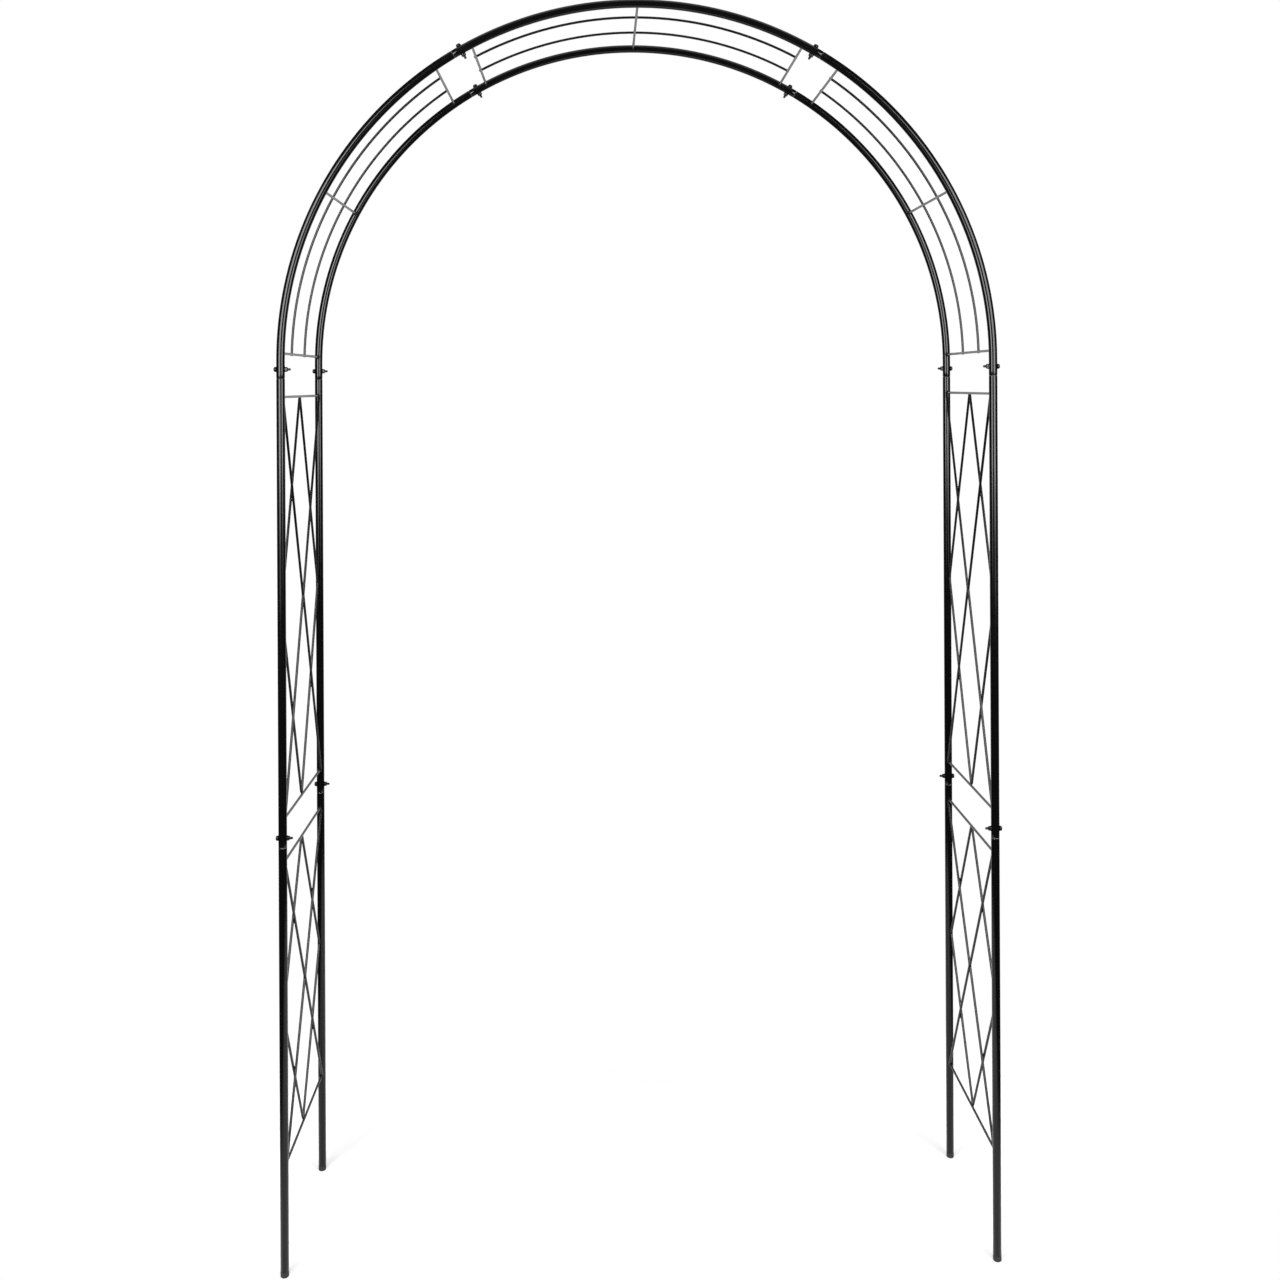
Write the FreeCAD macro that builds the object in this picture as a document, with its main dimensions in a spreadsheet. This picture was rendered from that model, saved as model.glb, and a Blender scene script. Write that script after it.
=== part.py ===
import FreeCAD, Part
import math
import os

import Sketcher

# A free-standing garden arch of steel tube, for climbing plants.
#
# Two hoops stand one behind the other, joined by rungs and wires into seven sections that plug together:
# a lower and an upper ladder on each side, an arc on each side and the crown. The upper end of each lower
# tube is swaged into a spigot, which slides into the tube above it, and a bolt across each plug joint
# locks it. A short neck shows at each seam, where the swage begins.
#
# Frame: X across the walkway, right positive. Y through the walkway, rear positive. Z up from the ground,
# with the origin midway between the four feet. Every right-hand piece is drawn once, and its left-hand
# twin is the same shape turned half a turn about Z.

# Driving dimensions, in millimetres and degrees.
SIZES = {
    # whole arch
    "arch_height": 2400,
    "arch_radius": 674,
    "arch_depth": 364,
    # tubes and plug joints
    "tube_diameter": 16,
    "tube_wall": 0.8,
    "spigot_length": 32,
    "spigot_clearance": 0.15,
    "neck_length": 1.5,
    "socket_margin": 1,
    "mid_seam_height": 805,
    "crown_seam_angle": 58.8,
    # rungs and wires
    "rung_diameter": 5,
    "wire_diameter": 5,
    "wire_bend_radius": 8,
    "wire_lap": 3,
    "weld_gap": 0.05,
    "foot_rung_height": 203,
    "rung_below_mid_seam": 31,
    "rung_above_mid_seam": 50,
    "rung_below_spring_seam": 34,
    "rung_beside_crown_seam": 40,
    "arc_first_rung_angle": 1.3,
    "arc_middle_rung_angle": 28.4,
    # bolts, nuts and washers
    "bolt_above_seam": 18,
    "bolt_diameter": 5,
    "bolt_tail": 5.9,
    "bolt_hole_clearance": 0.25,
    "thread_clearance": 0.1,
    "head_diameter": 9.5,
    "head_height": 3.7,
    "head_rounding": 2.6,
    "nut_across_flats": 8,
    "nut_height": 4,
    "washer_diameter": 10,
    "washer_thickness": 1,
    "washer_clearance": 0.15,
    "seat_gap": 0.05,
    # plastic plugs in the feet
    "plug_head_height": 11,
    "plug_rounding": 2.5,
    "plug_groove_height": 0.8,
    "plug_groove_depth": 0.4,
    "plug_stem_length": 22,
    "plug_clearance": 0.1,
}

RIGHT = 1
LEFT = -1
REAR = 1
FRONT = -1
SIDE_NAMES = {RIGHT: "right", LEFT: "left"}
DEPTH_NAMES = {FRONT: "front", REAR: "rear"}

AXIS_X = FreeCAD.Vector(1, 0, 0)
AXIS_Y = FreeCAD.Vector(0, 1, 0)
AXIS_Z = FreeCAD.Vector(0, 0, 1)
ORIGIN = FreeCAD.Vector(0, 0, 0)

# Sketcher's own numbers for a sketch's axes and its origin point
HORIZONTAL_AXIS = -1
VERTICAL_AXIS = -2
ORIGIN_POINT = (-1, 1)

doc = FreeCAD.newDocument("TrellisArch")
sheet = doc.addObject("Spreadsheet::Sheet", "sizes")
for row, (name, number) in enumerate(SIZES.items(), start=1):
    sheet.set(f"A{row}", name)
    sheet.set(f"B{row}", str(number))
    sheet.setAlias(f"B{row}", name)
doc.recompute()


class Size:
    """A dimension: its value now, and the expression that keeps it tied to the sheet."""

    def __init__(self, value, text):
        self.value = value
        self.text = text

    def __add__(self, other):
        other = as_size(other)
        return Size(self.value + other.value, f"({self.text} + {other.text})")

    def __sub__(self, other):
        other = as_size(other)
        return Size(self.value - other.value, f"({self.text} - {other.text})")

    def __rsub__(self, other):
        return as_size(other) - self

    def __mul__(self, other):
        other = as_size(other)
        return Size(self.value * other.value, f"({self.text} * {other.text})")

    def __truediv__(self, other):
        other = as_size(other)
        return Size(self.value / other.value, f"({self.text} / {other.text})")

    def __neg__(self):
        return Size(-self.value, f"(0 - {self.text})")


def as_size(item):
    return item if isinstance(item, Size) else Size(float(item), f"{float(item):.9f}")


def size(name):
    return Size(float(sheet.get(name)), f"sizes.{name}")


def root(item):
    return Size(math.sqrt(item.value), f"sqrt({item.text})")


def sine(angle):
    return Size(math.sin(math.radians(angle.value)), f"sin({angle.text})")


def cosine(angle):
    return Size(math.cos(math.radians(angle.value)), f"cos({angle.text})")


# Dimensions that follow from the driving ones
arch_radius = size("arch_radius")
half_depth = size("arch_depth") / 2
tube_radius = size("tube_diameter") / 2
bore_radius = tube_radius - size("tube_wall")
spigot_radius = bore_radius - size("spigot_clearance")
spigot_bore_radius = spigot_radius - size("tube_wall")
neck_length = size("neck_length")
spigot_length = size("spigot_length")
rung_radius = size("rung_diameter") / 2
wire_radius = size("wire_diameter") / 2
weld_gap = size("weld_gap")

arch_centre_height = size("arch_height") - tube_radius - arch_radius
mid_seam = size("mid_seam_height")
spring_drop = spigot_length + size("socket_margin")
spring_seam = arch_centre_height - spring_drop
plug_head = size("plug_head_height")

degrees_per_length = as_size(math.degrees(1)) / arch_radius
crown_seam = size("crown_seam_angle")
crown_neck = crown_seam + neck_length * degrees_per_length
crown_spigot_end = crown_seam + spigot_length * degrees_per_length
crown_bolt = crown_seam + size("bolt_above_seam") * degrees_per_length
crown_rung_step = size("rung_beside_crown_seam") * degrees_per_length
mid_bolt_height = mid_seam + size("bolt_above_seam")
spring_bolt_height = spring_seam + size("bolt_above_seam")
bolt_hole_radius = size("bolt_diameter") / 2 + size("bolt_hole_clearance")

pieces = []


def bind(item, path, amount):
    """Set one number of an object and tie it to the sheet."""
    item.setExpression(path, as_size(amount).text)


def new_body(label, keep=True):
    body = doc.addObject("PartDesign::Body", label)
    if keep:
        pieces.append(body)
    return body


def put(item, x, y, z, rotation=None):
    """Place a piece: its rotation is fixed, and its position follows the sheet."""
    where = [as_size(coordinate) for coordinate in (x, y, z)]
    base = FreeCAD.Vector(*[coordinate.value for coordinate in where])
    item.Placement = FreeCAD.Placement(base, rotation or FreeCAD.Rotation())
    for axis, coordinate in zip("xyz", where):
        bind(item, f"Placement.Base.{axis}", coordinate)


def attach(feature, body, role):
    """Lay a feature on one of its own body's origin planes."""
    plane = next(item for item in body.Origin.OriginFeatures if item.Role == role)
    feature.AttachmentSupport = (plane, [""])
    feature.MapMode = "FlatFace"


def tilt(feature, angle):
    """Turn a feature up about the arch's centre line by a number of degrees."""
    feature.AttachmentOffset = FreeCAD.Placement(ORIGIN, FreeCAD.Rotation(-AXIS_Y, angle.value))
    bind(feature, "AttachmentOffset.Rotation.Angle", angle)


def constrain(sketch, kind, *terms, amount=None):
    """Add a constraint, and tie it to the sheet where it carries a dimension."""
    if amount is None:
        sketch.addConstraint(Sketcher.Constraint(kind, *terms))
        return
    number = sketch.addConstraint(Sketcher.Constraint(kind, *terms, amount.value))
    sketch.setExpression(f"Constraints[{number}]", amount.text)


def pin_point(sketch, point, x, y):
    """Hold a sketch point at x, y from the sketch's origin."""
    for kind, axis, amount in (("DistanceX", VERTICAL_AXIS, x), ("DistanceY", HORIZONTAL_AXIS, y)):
        if amount.value == 0:
            constrain(sketch, "PointOnObject", *point, axis)
        elif amount.value > 0:
            constrain(sketch, kind, *ORIGIN_POINT, *point, amount=amount)
        else:
            constrain(sketch, kind, *point, *ORIGIN_POINT, amount=-amount)


def outline_sketch(body, name, corners):
    """A closed outline of straight lines in the XZ plane, each corner held by its distances."""
    sketch = body.newObject("Sketcher::SketchObject", name)
    attach(sketch, body, "XZ_Plane")
    corners = [(as_size(x), as_size(y)) for x, y in corners]
    points = [FreeCAD.Vector(x.value, y.value, 0) for x, y in corners]
    for index, start in enumerate(points):
        sketch.addGeometry(Part.LineSegment(start, points[(index + 1) % len(points)]))
    for index, (x, y) in enumerate(corners):
        constrain(sketch, "Coincident", index, 1, (index - 1) % len(points), 2)
        pin_point(sketch, (index, 1), x, y)
    return sketch


def turned(body, name, corners):
    """A solid turned about the body's own Z axis from half of its outline."""
    sketch = outline_sketch(body, name + "_outline", corners)
    solid = body.newObject("PartDesign::Revolution", name)
    solid.Profile = sketch
    solid.ReferenceAxis = (sketch, ["V_Axis"])
    solid.Angle = 360
    return solid


def ring_sketch(body, name, centre, outer, inner=None):
    """A round section in the XY plane, its centre out along X. With an inner radius it is a ring."""
    sketch = body.newObject("Sketcher::SketchObject", name)
    attach(sketch, body, "XY_Plane")
    for radius in [outer] if inner is None else [outer, inner]:
        circle = Part.Circle(FreeCAD.Vector(centre.value, 0, 0), AXIS_Z, radius.value)
        number = sketch.addGeometry(circle)
        constrain(sketch, "Radius", number, amount=radius)
        pin_point(sketch, (number, 3), centre, as_size(0))
    return sketch


def arch_run(body, name, section, sweep):
    """Carry a section round the arch's centre line, upwards through a number of degrees."""
    run = body.newObject("PartDesign::Revolution", name)
    run.Profile = section
    run.ReferenceAxis = (section, ["V_Axis"])
    run.Reversed = True
    run.Angle = sweep.value
    bind(run, "Angle", sweep)
    return run


def bolt_hole(body, name, length):
    """A round cutter, which starts at the body's origin and points along Z until it is turned."""
    hole = body.newObject("PartDesign::SubtractiveCylinder", name)
    attach(hole, body, "XY_Plane")
    bind(hole, "Radius", bolt_hole_radius)
    bind(hole, "Height", length)
    return hole


def leg_hole(body, name, height):
    """A bolt hole across a straight tube, along X."""
    hole = bolt_hole(body, name, tube_radius * 4)
    start = FreeCAD.Vector(-2 * tube_radius.value, 0, height.value)
    hole.AttachmentOffset = FreeCAD.Placement(start, FreeCAD.Rotation(AXIS_Y, 90))
    bind(hole, "AttachmentOffset.Base.x", -tube_radius * 2)
    bind(hole, "AttachmentOffset.Base.z", height)


def arch_hole(body, name, angle, rise=None):
    """A bolt hole through the arch's tube, pointing out from the arch's centre line.

    The angle is above the horizontal. A rise moves the whole hole up or down.
    """
    hole = bolt_hole(body, name, arch_radius + tube_radius * 2)
    turn = 90 - angle
    lift = as_size(0 if rise is None else rise)
    start = FreeCAD.Vector(0, 0, lift.value)
    hole.AttachmentOffset = FreeCAD.Placement(start, FreeCAD.Rotation(AXIS_Y, turn.value))
    bind(hole, "AttachmentOffset.Base.z", lift)
    bind(hole, "AttachmentOffset.Rotation.Angle", turn)


def side_rotation(side):
    """Right-hand pieces stand as drawn, and left-hand ones are turned half a turn about Z."""
    return FreeCAD.Rotation(AXIS_Z, 0 if side == RIGHT else 180)


# Straight tubes: the legs of the lower ladders and the posts of the upper ones.
def straight_tube(label, side, depth, bottom, seam, hole_heights):
    body = new_body(label)
    neck_top = seam + neck_length
    spigot_top = seam + spigot_length
    turned(body, label + "_tube", [
        (bore_radius, bottom),
        (tube_radius, bottom),
        (tube_radius, seam),
        (spigot_radius, neck_top),
        (spigot_radius, spigot_top),
        (spigot_bore_radius, spigot_top),
        (spigot_bore_radius, neck_top),
        (bore_radius, seam),
    ])
    for number, height in enumerate(hole_heights, start=1):
        leg_hole(body, f"{label}_bolt_hole_{number}", height)
    put(body, arch_radius * side, half_depth * depth, 0)


# Arc tubes of the two sides: a straight socket at the spring line, the curve, and a curved spigot.
def side_arc_tube(label, side, depth):
    body = new_body(label)
    socket = body.newObject("PartDesign::Pad", label + "_socket")
    socket.Profile = ring_sketch(body, label + "_socket_ring", arch_radius, tube_radius, bore_radius)
    socket.Reversed = True
    bind(socket, "Length", spring_drop - neck_length)
    curve_ring = ring_sketch(body, label + "_curve_ring", arch_radius, tube_radius, bore_radius)
    arch_run(body, label + "_curve", curve_ring, crown_seam)

    neck_ring = ring_sketch(body, label + "_neck_ring", arch_radius, tube_radius, bore_radius)
    tilt(neck_ring, crown_seam)
    spigot_ring = ring_sketch(body, label + "_spigot_ring", arch_radius, spigot_radius, spigot_bore_radius)
    tilt(spigot_ring, crown_neck)
    doc.recompute()
    neck = body.newObject("PartDesign::AdditiveLoft", label + "_neck")
    neck.Profile = neck_ring
    neck.Sections = [spigot_ring]
    neck.Ruled = True
    arch_run(body, label + "_spigot", spigot_ring, crown_spigot_end - crown_neck)

    arch_hole(body, label + "_spring_bolt_hole", as_size(0), rise=spring_bolt_height - arch_centre_height)
    arch_hole(body, label + "_crown_bolt_hole", crown_bolt)
    put(body, 0, half_depth * depth, arch_centre_height, side_rotation(side))


# Crown tubes: plain curves, open at both ends, which drop over the spigots of the two side arcs.
def crown_tube(label, depth):
    body = new_body(label)
    ring = ring_sketch(body, label + "_ring", arch_radius, tube_radius, bore_radius)
    tilt(ring, crown_neck)
    arch_run(body, label + "_curve", ring, 180 - crown_neck * 2)
    arch_hole(body, label + "_right_bolt_hole", crown_bolt)
    arch_hole(body, label + "_left_bolt_hole", 180 - crown_bolt)
    put(body, 0, half_depth * depth, arch_centre_height)


# Rungs: rods cut square and welded between the front and the rear tube, on the tubes' centre lines.
def rung(label, x, z):
    rod = doc.addObject("Part::Cylinder", label)
    length = (half_depth - tube_radius - weld_gap) * 2
    bind(rod, "Radius", rung_radius)
    bind(rod, "Height", length)
    put(rod, x, length / -2, z, FreeCAD.Rotation(AXIS_X, -90))
    pieces.append(rod)


def arch_rung(label, angle, side=RIGHT):
    rung(label, arch_radius * cosine(angle) * side, arch_centre_height + arch_radius * sine(angle))


# Arc wires: two to a section, laid over the outside of its rungs, a third of the depth apart.
def arc_wire(label, start, end, side, depth):
    body = new_body(label)
    wire_line = arch_radius + rung_radius + weld_gap + wire_radius
    lap = size("wire_lap") * degrees_per_length
    section = ring_sketch(body, label + "_section", wire_line, wire_radius)
    tilt(section, start - lap)
    arch_run(body, label + "_curve", section, end - start + lap * 2)
    put(body, 0, half_depth * depth / 3, arch_centre_height, side_rotation(side))


# Lattice wires: each is bent once, into a V on its side, and ends under one rung and over another.
# A wire points towards the front or the rear, and lies in the outer or the inner layer of the lattice.
WIRE_TURNS = {
    (RIGHT, REAR): FreeCAD.Rotation(AXIS_Z, 0),
    (RIGHT, FRONT): FreeCAD.Rotation(AXIS_X, 180),
    (LEFT, FRONT): FreeCAD.Rotation(AXIS_Z, 180),
    (LEFT, REAR): FreeCAD.Rotation(AXIS_Y, 180),
}


def bent_wire(label, side, points_to, layer, base_y, start, tip, lower_rung, upper_rung):
    """A wire with its ends at a distance start, and its bend at a distance tip, from base_y."""
    body = new_body(label)
    rise = (upper_rung - lower_rung) / 2
    reach = tip - start
    lean = reach / root(reach * reach + rise * rise)
    end_height = rise - rung_radius - weld_gap - wire_radius * lean
    bend_radius = size("wire_bend_radius")
    bend_centre = tip - bend_radius

    path = body.newObject("Sketcher::SketchObject", label + "_path")
    attach(path, body, "YZ_Plane")
    bind(path, "AttachmentOffset.Base.z", layer)
    to_start = math.atan2(end_height.value, start.value - bend_centre.value)
    start_distance = math.hypot(end_height.value, start.value - bend_centre.value)
    half_bend = to_start - math.acos(bend_radius.value / start_distance)
    bend_x = bend_centre.value + bend_radius.value * math.cos(half_bend)
    bend_y = bend_radius.value * math.sin(half_bend)
    upper_end = FreeCAD.Vector(start.value, end_height.value, 0)
    lower_end = FreeCAD.Vector(start.value, -end_height.value, 0)
    circle = Part.Circle(FreeCAD.Vector(bend_centre.value, 0, 0), AXIS_Z, bend_radius.value)
    upper = path.addGeometry(Part.LineSegment(upper_end, FreeCAD.Vector(bend_x, bend_y, 0)))
    bend = path.addGeometry(Part.ArcOfCircle(circle, -half_bend, half_bend))
    lower = path.addGeometry(Part.LineSegment(FreeCAD.Vector(bend_x, -bend_y, 0), lower_end))
    constrain(path, "Tangent", upper, 2, bend, 2)
    constrain(path, "Tangent", bend, 1, lower, 1)
    constrain(path, "Symmetric", upper, 1, lower, 2, HORIZONTAL_AXIS)
    pin_point(path, (upper, 1), start, end_height)
    pin_point(path, (bend, 3), bend_centre, as_size(0))
    constrain(path, "Radius", bend, amount=bend_radius)
    doc.recompute()

    section = body.newObject("Sketcher::SketchObject", label + "_section")
    section.AttachmentSupport = [(path, "Edge1")]
    section.MapMode = "NormalToEdge"
    number = section.addGeometry(Part.Circle(ORIGIN, AXIS_Z, wire_radius.value))
    constrain(section, "Radius", number, amount=wire_radius)
    constrain(section, "Coincident", number, 3, *ORIGIN_POINT)
    wire = body.newObject("PartDesign::AdditivePipe", label + "_wire")
    wire.Profile = section
    wire.Spine = (path, [])
    put(body, arch_radius * side, base_y, (lower_rung + upper_rung) / 2, WIRE_TURNS[side, points_to])


def lattice(section, side, lower_rung, upper_rung):
    """Four wires: two make a diamond that reaches the tubes, and two make a cross through its middle."""
    layer = wire_radius + weld_gap
    tube_reach = tube_radius + wire_radius + weld_gap
    stand_off = root(tube_reach * tube_reach - layer * layer)
    from_middle = wire_radius + weld_gap
    for depth, depth_name in DEPTH_NAMES.items():
        bent_wire(f"{section}_{depth_name}_diamond_wire", side, depth, layer, as_size(0),
                  from_middle, half_depth - stand_off, lower_rung, upper_rung)
        bent_wire(f"{section}_{depth_name}_cross_wire", side, -depth, -layer, half_depth * depth,
                  stand_off, half_depth - from_middle, lower_rung, upper_rung)


# Bolts, washers and nuts: one of each is drawn about the bolt's axis, with zero at the tube's middle and
# the bolt's head up, and a copy goes to each of the twelve plug joints, its head outwards.
under_head = tube_radius + size("seat_gap") + size("washer_thickness")
BOLT_STATIONS = []
for station_side in (LEFT, RIGHT):
    BOLT_STATIONS.append((station_side, arch_radius, mid_bolt_height, as_size(0)))
    BOLT_STATIONS.append((station_side, arch_radius, spring_bolt_height, as_size(0)))
    crown_height = arch_centre_height + arch_radius * sine(crown_bolt)
    BOLT_STATIONS.append((station_side, arch_radius * cosine(crown_bolt), crown_height, crown_bolt))


def copies(label, masters, stations):
    """One node of separate solids: every master copied to every station."""
    group = doc.addObject("Part::Compound", label)
    links = []
    for side, out, height, angle in stations:
        for depth in (FRONT, REAR):
            for master in masters:
                link = doc.addObject("App::Link", f"{label}_copy_{len(links) + 1}")
                link.LinkedObject = master
                turn = 90 - angle
                facing = FreeCAD.Rotation(AXIS_Y * side, turn.value)
                put(link, out * side, half_depth * depth, height, facing)
                bind(link, "Placement.Rotation.Angle", turn)
                links.append(link)
    group.Links = links
    pieces.append(group)


def round_edge(body, feature, name, radius, edge_radius, edge_height):
    """Round the one edge of a turned piece that has this radius and height."""
    doc.recompute()
    edges = [
        f"Edge{number}" for number, edge in enumerate(feature.Shape.Edges, start=1)
        if isinstance(edge.Curve, Part.Circle)
        and abs(edge.Curve.Radius - edge_radius.value) < 1e-6
        and abs(edge.Curve.Center.z - edge_height.value) < 1e-6
    ]
    rounding = body.newObject("PartDesign::Fillet", name)
    rounding.Base = (feature, edges)
    bind(rounding, "Radius", radius)


def bolt_master():
    body = new_body("bolt_master", keep=False)
    shank_radius = size("bolt_diameter") / 2
    head_radius = size("head_diameter") / 2
    head_top = under_head + size("head_height")
    tip = -(under_head + size("nut_height") + size("bolt_tail"))
    solid = turned(body, "bolt_solid", [
        (0, tip),
        (shank_radius, tip),
        (shank_radius, under_head),
        (head_radius, under_head),
        (head_radius, head_top),
        (0, head_top),
    ])
    round_edge(body, solid, "bolt_head_rounding", size("head_rounding"), head_radius, head_top)
    return body


def washer_master(name, bottom):
    body = new_body(name, keep=False)
    top = bottom + size("washer_thickness")
    hole_radius = size("bolt_diameter") / 2 + size("washer_clearance")
    outer_radius = size("washer_diameter") / 2
    turned(body, name + "_solid", [
        (hole_radius, bottom),
        (outer_radius, bottom),
        (outer_radius, top),
        (hole_radius, top),
    ])
    return body


def nut_master():
    hexagon = doc.addObject("Part::Prism", "nut_hexagon")
    hexagon.Polygon = 6
    thread = doc.addObject("Part::Cylinder", "nut_thread")
    bind(hexagon, "Circumradius", size("nut_across_flats") / as_size(math.sqrt(3)))
    bind(thread, "Radius", size("bolt_diameter") / 2 + size("thread_clearance"))
    for blank in (hexagon, thread):
        bind(blank, "Height", size("nut_height"))
        put(blank, 0, 0, -(under_head + size("nut_height")))
    nut = doc.addObject("Part::Cut", "nut_master")
    nut.Base = hexagon
    nut.Tool = thread
    return nut


# Foot plugs: plastic, with a head as wide as the tube, a groove under the tube's end and a stem inside it.
def plug_master():
    body = new_body("plug_master", keep=False)
    stem_radius = bore_radius - size("plug_clearance")
    stem_top = plug_head + size("plug_stem_length")
    solid = turned(body, "plug_solid", [
        (0, 0),
        (tube_radius, 0),
        (tube_radius, plug_head - size("plug_groove_height")),
        (tube_radius - size("plug_groove_depth"), plug_head),
        (stem_radius, plug_head),
        (stem_radius, stem_top),
        (0, stem_top),
    ])
    round_edge(body, solid, "plug_rounding", size("plug_rounding"), tube_radius, as_size(0))
    return body


# The two sides and the crown
lower_rungs = (size("foot_rung_height"), mid_seam - size("rung_below_mid_seam"))
upper_rungs = (mid_seam + size("rung_above_mid_seam"), spring_seam - size("rung_below_spring_seam"))
first_angle = size("arc_first_rung_angle")
last_angle = crown_seam - crown_rung_step
crown_angle = crown_seam + crown_rung_step

for side, side_name in SIDE_NAMES.items():
    for depth, depth_name in DEPTH_NAMES.items():
        straight_tube(f"lower_{side_name}_{depth_name}_leg", side, depth,
                      plug_head, mid_seam, [mid_bolt_height])
        straight_tube(f"upper_{side_name}_{depth_name}_post", side, depth,
                      mid_seam + neck_length, spring_seam, [mid_bolt_height, spring_bolt_height])
        side_arc_tube(f"{side_name}_arc_{depth_name}_tube", side, depth)
        arc_wire(f"{side_name}_arc_{depth_name}_wire", first_angle, last_angle, side, depth)
    for level, (lower_rung, upper_rung) in (("lower", lower_rungs), ("upper", upper_rungs)):
        rung(f"{level}_{side_name}_bottom_rung", arch_radius * side, lower_rung)
        rung(f"{level}_{side_name}_top_rung", arch_radius * side, upper_rung)
        lattice(f"{level}_{side_name}", side, lower_rung, upper_rung)
    arch_rung(f"{side_name}_arc_bottom_rung", first_angle, side)
    arch_rung(f"{side_name}_arc_middle_rung", size("arc_middle_rung_angle"), side)
    arch_rung(f"{side_name}_arc_top_rung", last_angle, side)
    arch_rung(f"crown_{side_name}_rung", crown_angle, side)

for depth, depth_name in DEPTH_NAMES.items():
    crown_tube(f"crown_{depth_name}_tube", depth)
    arc_wire(f"crown_{depth_name}_wire", crown_angle, 180 - crown_angle, RIGHT, depth)
arch_rung("crown_middle_rung", as_size(90))

copies("joint_bolts", [bolt_master()], BOLT_STATIONS)
inner_washer = -(tube_radius + size("seat_gap") + size("washer_thickness"))
outer_washer = tube_radius + size("seat_gap")
washers = [washer_master("outer_washer", outer_washer), washer_master("inner_washer", inner_washer)]
copies("joint_washers", washers, BOLT_STATIONS)
copies("joint_nuts", [nut_master()], BOLT_STATIONS)
feet = [(side, arch_radius, as_size(0), as_size(90)) for side in SIDE_NAMES]
copies("foot_plugs", [plug_master()], feet)

doc.recompute()
for item in doc.Objects:
    if "Invalid" in item.State or "Error" in item.State:
        raise SystemExit(f"{item.Label} did not build: {item.State}")
os.makedirs("parts", exist_ok=True)
for piece in pieces:
    if piece.Shape.isNull() or not piece.Shape.isValid():
        raise SystemExit(f"{piece.Label} has no valid shape")
    piece.Shape.exportStep(f"parts/{piece.Label}.step")
print(len(pieces), "nodes,", sum(len(piece.Shape.Solids) for piece in pieces), "solids")
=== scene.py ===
import math

import bmesh
import bpy
from mathutils import Matrix, Vector


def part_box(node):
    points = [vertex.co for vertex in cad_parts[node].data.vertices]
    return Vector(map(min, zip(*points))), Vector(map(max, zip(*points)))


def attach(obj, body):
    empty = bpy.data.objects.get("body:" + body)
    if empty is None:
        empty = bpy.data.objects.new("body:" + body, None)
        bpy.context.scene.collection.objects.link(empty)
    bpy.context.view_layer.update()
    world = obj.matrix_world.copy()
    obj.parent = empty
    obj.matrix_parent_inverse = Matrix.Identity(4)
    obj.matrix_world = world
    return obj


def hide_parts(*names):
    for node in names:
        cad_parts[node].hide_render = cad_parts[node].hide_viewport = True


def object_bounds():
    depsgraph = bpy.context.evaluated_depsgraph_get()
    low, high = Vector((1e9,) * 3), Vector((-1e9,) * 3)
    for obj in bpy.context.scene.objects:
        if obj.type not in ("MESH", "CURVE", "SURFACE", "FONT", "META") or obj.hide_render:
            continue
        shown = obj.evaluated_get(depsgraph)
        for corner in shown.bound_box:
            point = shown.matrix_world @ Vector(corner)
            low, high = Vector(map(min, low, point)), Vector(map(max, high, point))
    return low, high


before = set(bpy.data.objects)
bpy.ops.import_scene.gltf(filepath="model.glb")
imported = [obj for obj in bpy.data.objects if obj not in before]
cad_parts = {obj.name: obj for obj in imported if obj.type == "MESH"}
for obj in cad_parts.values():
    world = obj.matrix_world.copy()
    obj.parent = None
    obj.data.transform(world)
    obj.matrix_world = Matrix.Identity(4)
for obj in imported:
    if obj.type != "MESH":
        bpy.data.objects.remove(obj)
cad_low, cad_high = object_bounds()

# The camera stands in front of the arch, a little left of its middle and at head height. It looks level
# and almost square on. Its frame is dropped, so that the feet and the crown both fit in it.
CAMERA_PLACE = (-0.077, -2.874, 1.671)
CAMERA_TURN = math.radians(1.66)
CAMERA_ROLL = math.radians(-0.27)
CAMERA_LENS = 40.05
CAMERA_SENSOR = 36
CAMERA_FRAME_DROP = 0.1994

bpy.ops.object.select_all(action="DESELECT")
bpy.ops.object.camera_add(location=CAMERA_PLACE)
camera = bpy.context.object
level = Matrix.Rotation(-CAMERA_TURN, 4, "Z") @ Matrix.Rotation(math.radians(90), 4, "X")
camera.rotation_euler = (level @ Matrix.Rotation(CAMERA_ROLL, 4, "Z")).to_euler()
camera.data.lens = CAMERA_LENS
camera.data.sensor_width = CAMERA_SENSOR
camera.data.shift_y = -CAMERA_FRAME_DROP
camera.data.clip_start = 0.02
camera.data.clip_end = 100
bpy.context.scene.camera = camera
bpy.context.scene.view_settings.view_transform = "Standard"


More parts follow.
